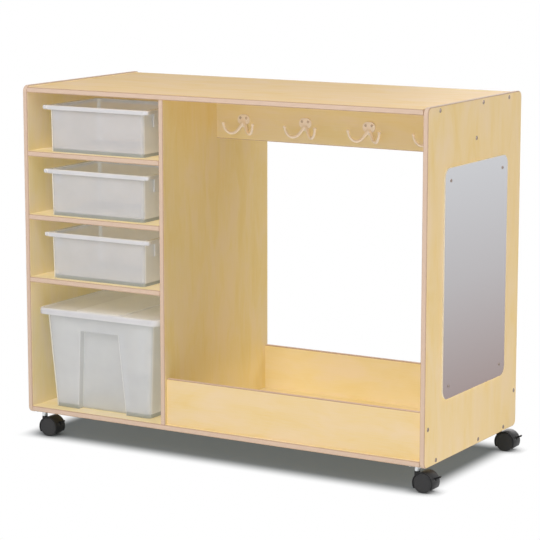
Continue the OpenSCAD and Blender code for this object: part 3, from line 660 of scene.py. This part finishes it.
def black_nylon(name, colour, roughness):
    """Moulded nylon: near black with a fine spark-eroded grain that breaks up its gloss."""
    material, tree, place = new_material(name)
    grain = add(tree, "ShaderNodeTexNoise", inputs={
        "Vector": place, "Scale": 1 / NYLON_GRAIN, "Detail": 2.0})
    bump = add(tree, "ShaderNodeBump", inputs={
        "Height": grain.outputs["Fac"], "Strength": 0.15, "Distance": 0.1 * MM})
    close_surface(tree, {"Base Color": linear(colour), "Roughness": roughness,
                         "Specular IOR Level": 0.25, "Normal": bump.outputs["Normal"]})
    return material


hood_nylon = black_nylon("black_nylon_hood", "#1B1B1C", 0.45)
wheel_nylon = black_nylon("black_nylon_wheel", "#333334", 0.5)
for corner in ("fl", "fr", "bl", "br"):
    finish_with("caster_plate_" + corner, bright_zinc)
    finish_with("caster_axle_" + corner, bright_zinc)
    hood = soften("caster_hood_" + corner, "caster_" + corner, HOOD_EDGE, CASTER_ANGLE)
    dress(hood, hood_nylon)
    pedal = soften("brake_pedal_" + corner, "pedal_" + corner, PEDAL_EDGE, CASTER_ANGLE)
    dress(pedal, hood_nylon)
    for side in ("front", "back"):
        finish_with(f"wheel_{side}_{corner}", wheel_nylon)

# ------------------------------------------------------------------ floor and backdrop
# A plain white studio: the unit stands on white paper that is overexposed all around, so
# that all that shows of the floor is a painted shadow: a soft dark patch under the unit,
# darker near its wheels.

FLOOR_SIZE = 60.0
WHITE = "#FFFFFF"
BLACK = "#000000"
PAPER = "#F3F3F3"
PAINTED_SHADOW_PAPER = "#595D61"
PAINTED_SHADOW_GLOW = "#525658"
# The painted shadow's ends from the cabinet's front left corner, and half the width of their fade
PAINTED_SHADOW_ENDS = {X: (-0.006, 1.204), Y: (0.005, 0.541)}
PAINTED_SHADOW_FADE = {X: 0.035, Y: 0.045}
CONTACT_SHADOW_REACH = 0.03


def looked_at(tree):
    """1 where the camera sees a thing, straight on, in a gloss or through glass, and 0 where
    the thing only lights others."""
    path = add(tree, "ShaderNodeLightPath")
    seen = path.outputs["Is Camera Ray"]
    for ray in ("Is Glossy Ray", "Is Transmission Ray"):
        seen = add(tree, "ShaderNodeMath", {"operation": "MAXIMUM"}, {
            0: seen, 1: path.outputs[ray]}).outputs[0]
    return seen


def white_paper():
    """White paper. To the camera it shows a painted shadow, grey in a patch under the unit and
    darker where ambient occlusion finds a wheel close by, and it is overexposed beyond."""
    material, tree, place = new_material("white_paper_floor")
    axes = add(tree, "ShaderNodeSeparateXYZ", inputs={"Vector": place})
    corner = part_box("left_side")[0]
    painted_shadow = 1.0
    for axis, ends in PAINTED_SHADOW_ENDS.items():
        for end, levels in zip(ends, ((0.0, 1.0), (1.0, 0.0))):
            middle = corner[axis] + end
            step = add(tree, "ShaderNodeMapRange", {"interpolation_type": "SMOOTHSTEP"}, {
                "Value": axes.outputs[axis],
                "From Min": middle - PAINTED_SHADOW_FADE[axis], "From Max": middle + PAINTED_SHADOW_FADE[axis],
                "To Min": levels[0], "To Max": levels[1]})
            painted_shadow = add(tree, "ShaderNodeMath", {"operation": "MULTIPLY"}, {
                0: painted_shadow, 1: step.outputs[0]}).outputs[0]
    seen = looked_at(tree)
    shaded = add(tree, "ShaderNodeMix", {"data_type": "RGBA"}, {
        0: painted_shadow, COLOUR_A: linear(BLACK), COLOUR_B: linear(PAINTED_SHADOW_PAPER)})
    colour = add(tree, "ShaderNodeMix", {"data_type": "RGBA"}, {
        0: seen, COLOUR_A: linear(PAPER), COLOUR_B: shaded.outputs[COLOUR_OUT]})
    paper = add(tree, "ShaderNodeBsdfDiffuse", inputs={"Color": colour.outputs[COLOUR_OUT]})
    overexposed = add(tree, "ShaderNodeMix", {"data_type": "RGBA"}, {
        0: painted_shadow, COLOUR_A: linear(WHITE), COLOUR_B: linear(PAINTED_SHADOW_GLOW)})
    # A painted contact shadow: the glow dims where ambient occlusion finds something near
    painted_contact_shadow = add(tree, "ShaderNodeAmbientOcclusion", {"samples": 8}, {"Distance": CONTACT_SHADOW_REACH})
    strength = add(tree, "ShaderNodeMath", {"operation": "MULTIPLY"}, {
        0: seen, 1: painted_contact_shadow.outputs["AO"]})
    glow = add(tree, "ShaderNodeEmission", inputs={
        "Color": overexposed.outputs[COLOUR_OUT], "Strength": strength.outputs[0]})
    both = add(tree, "ShaderNodeAddShader", inputs={0: paper.outputs[0], 1: glow.outputs[0]})
    add(tree, "ShaderNodeOutputMaterial", inputs={"Surface": both.outputs[0]})
    return material


bpy.ops.object.select_all(action="DESELECT")
bpy.ops.mesh.primitive_plane_add(size=FLOOR_SIZE, location=(0, 0, 0))
floor = bpy.context.active_object
floor.name = "studio_floor"
floor.data.materials.append(white_paper())

# The studio is white to look at and gives no light of its own
world = bpy.data.worlds.new("studio")
bpy.context.scene.world = world
world.use_nodes = True
world.node_tree.nodes.clear()
sky = add(world.node_tree, "ShaderNodeBackground", inputs={
    "Color": linear(WHITE), "Strength": looked_at(world.node_tree)})
add(world.node_tree, "ShaderNodeOutputWorld", inputs={"Surface": sky.outputs[0]})

# ------------------------------------------------------------------ lamps
# Square softboxes on all sides, the strongest from above the front and from the right. The
# fills are the light that reflector boards throw into the bays, so they cast no shadow.

# Place and width in metres, and power in watts
SOFTBOX_COLOUR = (1.0, 0.965, 0.965)
SOFTBOXES = {
    "steep_front_softbox": ((0.3, -2.7, 4.2), 2.0, 85),
    "front_softbox": ((0.0, -4.1, 3.4), 2.0, 63),
    "right_softbox": ((4.6, 0.9, 2.3), 2.4, 84),
    "left_softbox": ((-4.7, -0.6, 1.4), 2.4, 52),
    "rear_softbox": ((-0.6, 4.7, 1.4), 2.4, 52),
}
FILL_COLOUR = (0.94, 1.0, 0.98)
FILLS = {
    "front_fill": ((0.0, -4.6, 1.4), 2.0, 26),
    "low_front_fill": ((0.0, -3.4, -1.6), 2.0, 13),
    "top_fill": ((0.0, -0.4, 5.0), 2.0, 21),
    "low_right_fill": ((3.0, -1.2, -1.6), 2.0, 37),
}
LAMP_AIM = Vector((0, 0, 0.5))


def area_lamp(name, place, width, power, colour, shadows):
    """A square lamp that is turned to the unit."""
    lamp = bpy.data.lights.new(name, "AREA")
    lamp.shape = "SQUARE"
    lamp.size = width
    lamp.energy = power
    lamp.color = colour
    lamp.use_shadow = shadows
    holder = bpy.data.objects.new(name, lamp)
    holder.location = place
    holder.rotation_euler = (LAMP_AIM - Vector(place)).to_track_quat("-Z", "Y").to_euler()
    bpy.context.scene.collection.objects.link(holder)


for name, (place, width, power) in SOFTBOXES.items():
    area_lamp(name, place, width, power, SOFTBOX_COLOUR, shadows=True)
for name, (place, width, power) in FILLS.items():
    area_lamp(name, place, width, power, FILL_COLOUR, shadows=False)

# ------------------------------------------------------------------ camera
# It stands to the right of the unit's front, a little above it, and looks gently down. Its
# place and lens were worked out from the cabinet's corners in the photograph.

CAMERA_PLACE = (2.996, -5.0919, 1.5019)
CAMERA_AZIMUTH = 30.58       # degrees to the right of straight on
CAMERA_ELEVATION = 9.86      # degrees that it looks down
CAMERA_LENS = 148.57         # millimetres, as its sensor
CAMERA_SENSOR = 36
FAR_CLIP = 200
camera = bpy.data.cameras.new("camera")
camera.lens = CAMERA_LENS
camera.sensor_width = CAMERA_SENSOR
camera.clip_end = FAR_CLIP
viewer = bpy.data.objects.new("camera", camera)
viewer.location = CAMERA_PLACE
viewer.rotation_euler = (math.radians(90 - CAMERA_ELEVATION), 0, math.radians(CAMERA_AZIMUTH))
bpy.context.scene.collection.objects.link(viewer)
bpy.context.scene.camera = viewer
bpy.context.scene.view_settings.view_transform = "Standard"
